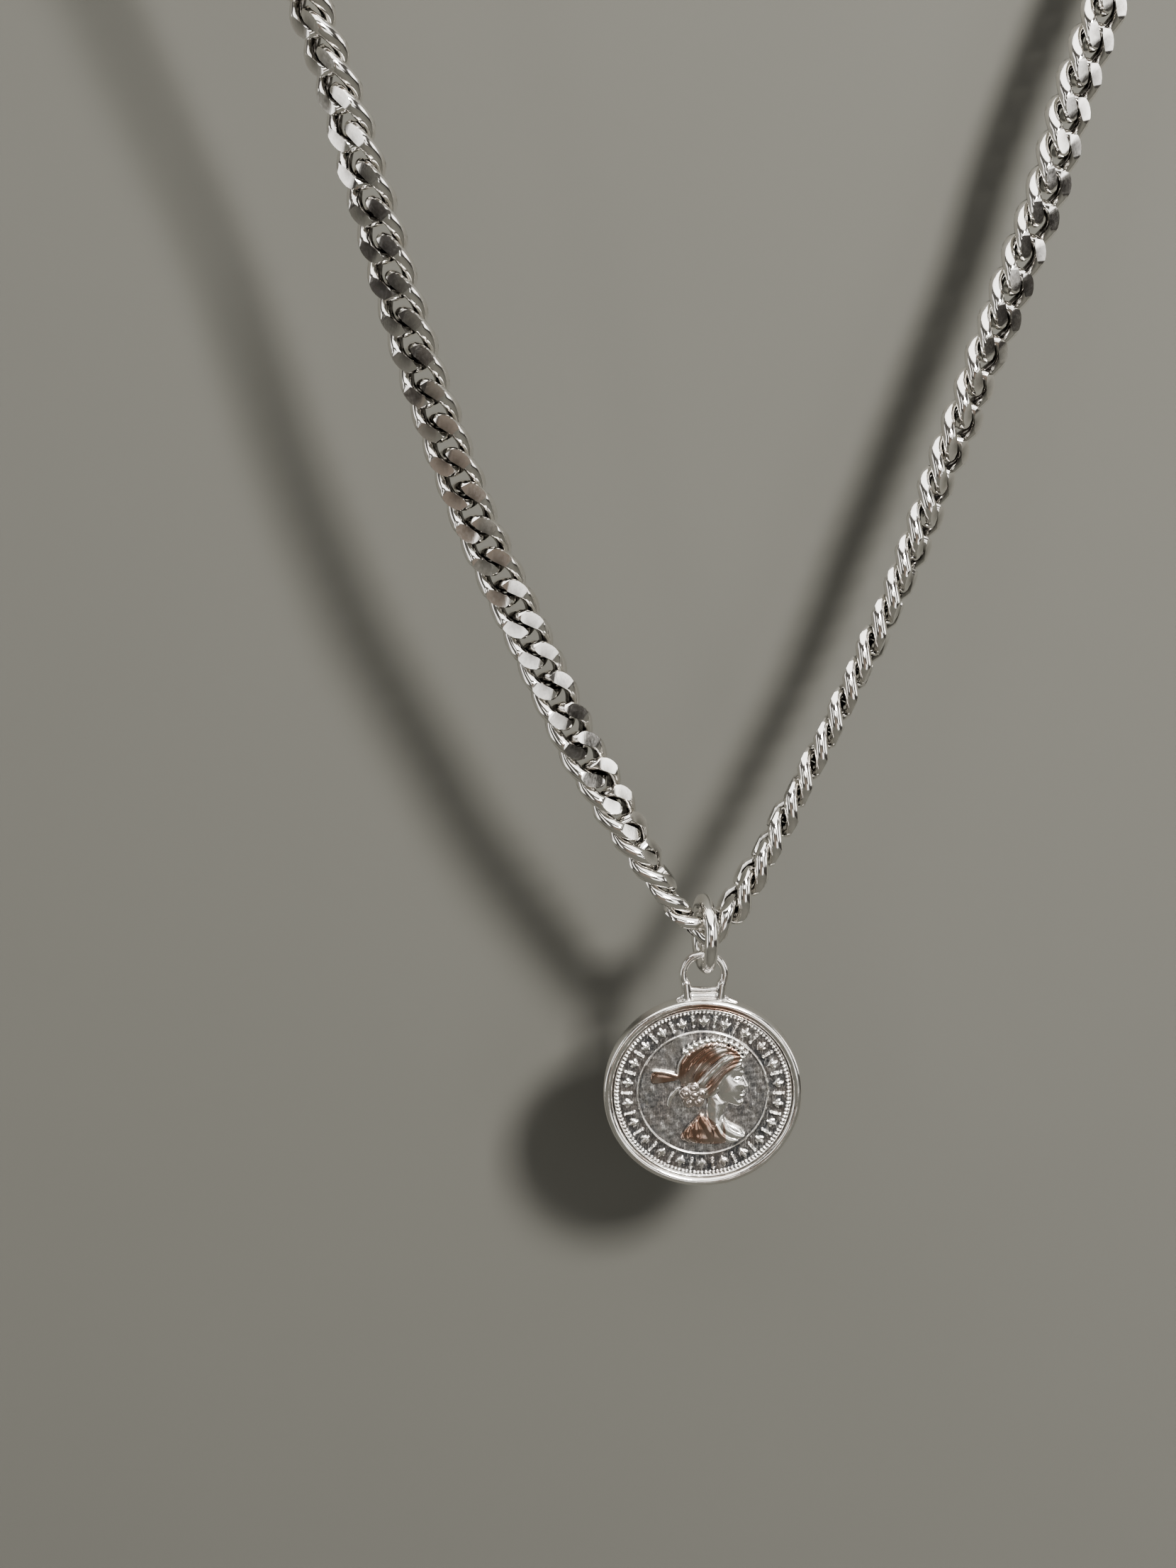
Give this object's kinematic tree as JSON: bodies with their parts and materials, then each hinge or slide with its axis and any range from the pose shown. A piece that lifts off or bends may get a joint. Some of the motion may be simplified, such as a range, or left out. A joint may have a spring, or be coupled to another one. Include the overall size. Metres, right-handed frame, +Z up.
{
  "type": "coin pendant necklace",
  "caption": "Silver coin pendant with a bust in relief, hung by a jump ring from a whole loop of diamond-cut curb chain with a plain clasp.",
  "frame": {"origin": "underside of the clasp at the top of the loop, where the necklace hangs", "axes": "+Z up, -Y out of the coin's picture, +X to the right as the coin is seen; the chain's loop is turned 12 degrees about Z"},
  "size_m": [0.0953, 0.023, 0.1976],
  "materials": {
    "coin_silver": "polished relief over a dark oxidised field",
    "ring_silver": "polished",
    "chain_silver": "polished, with flat diamond-cut facets",
    "clasp_silver": "polished"
  },
  "bodies": {
    "necklace": {"chain_left": "chain_silver", "chain_right": "chain_silver", "clasp": "clasp_silver"},
    "ring": {"jump_ring": "ring_silver"},
    "pendant": {"coin": "coin_silver"}
  },
  "joints": [
    {"name": "ring_swing", "type": "hinge", "parent": "necklace", "child": "ring", "pos_m": [0, 0, -0.17405], "axis": [0.9877, 0.1564, 0], "range_deg": [-40, 40]},
    {"name": "coin_swing", "type": "hinge", "parent": "ring", "child": "pendant", "pos_m": [0, 0, -0.17655], "axis": [0, 1, 0], "range_deg": [-50, 50]}
  ]
}
